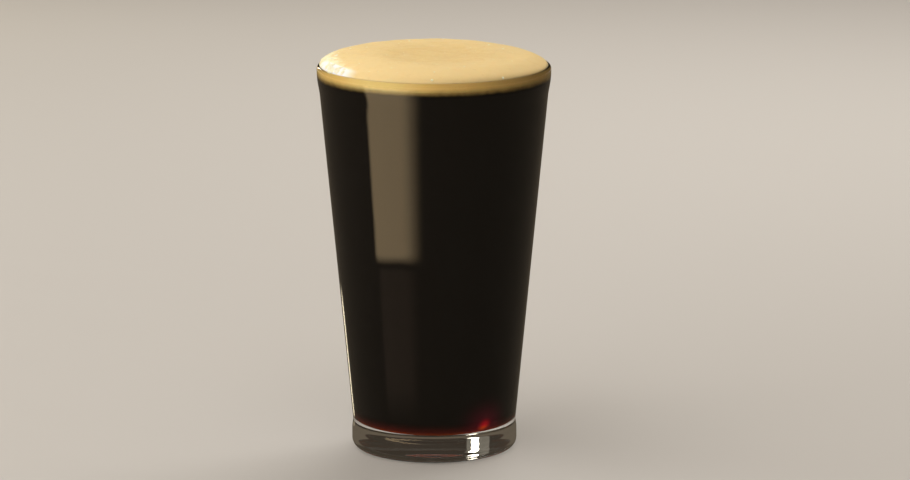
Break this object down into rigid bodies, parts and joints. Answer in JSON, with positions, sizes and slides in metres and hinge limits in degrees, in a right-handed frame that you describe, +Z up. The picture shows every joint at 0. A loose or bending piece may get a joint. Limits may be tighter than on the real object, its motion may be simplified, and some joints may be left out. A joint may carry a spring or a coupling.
{
  "type": "pint of porter",
  "caption": "Dark porter with a cream foam head crowning above the rim of a plain tapered pint glass with a thick clear base.",
  "frame": {"origin": "centre of the glass's foot, on the surface that it stands on", "axes": "+Z up along the glass's axis; +X to the right and -Y towards the viewer of the picture"},
  "size_m": [0.0894, 0.0894, 0.1541],
  "materials": {
    "clear_glass": "clear pressed soda-lime glass, fire-polished rim",
    "dark_porter": "near-black liquid, ruby red where light passes through a thin depth",
    "cream_foam": "cream to tan beer foam, fine-celled with a few larger bubbles"
  },
  "bodies": {
    "root": {"glass": "clear_glass", "porter": "dark_porter", "foam_head": "cream_foam"}
  },
  "joints": []
}
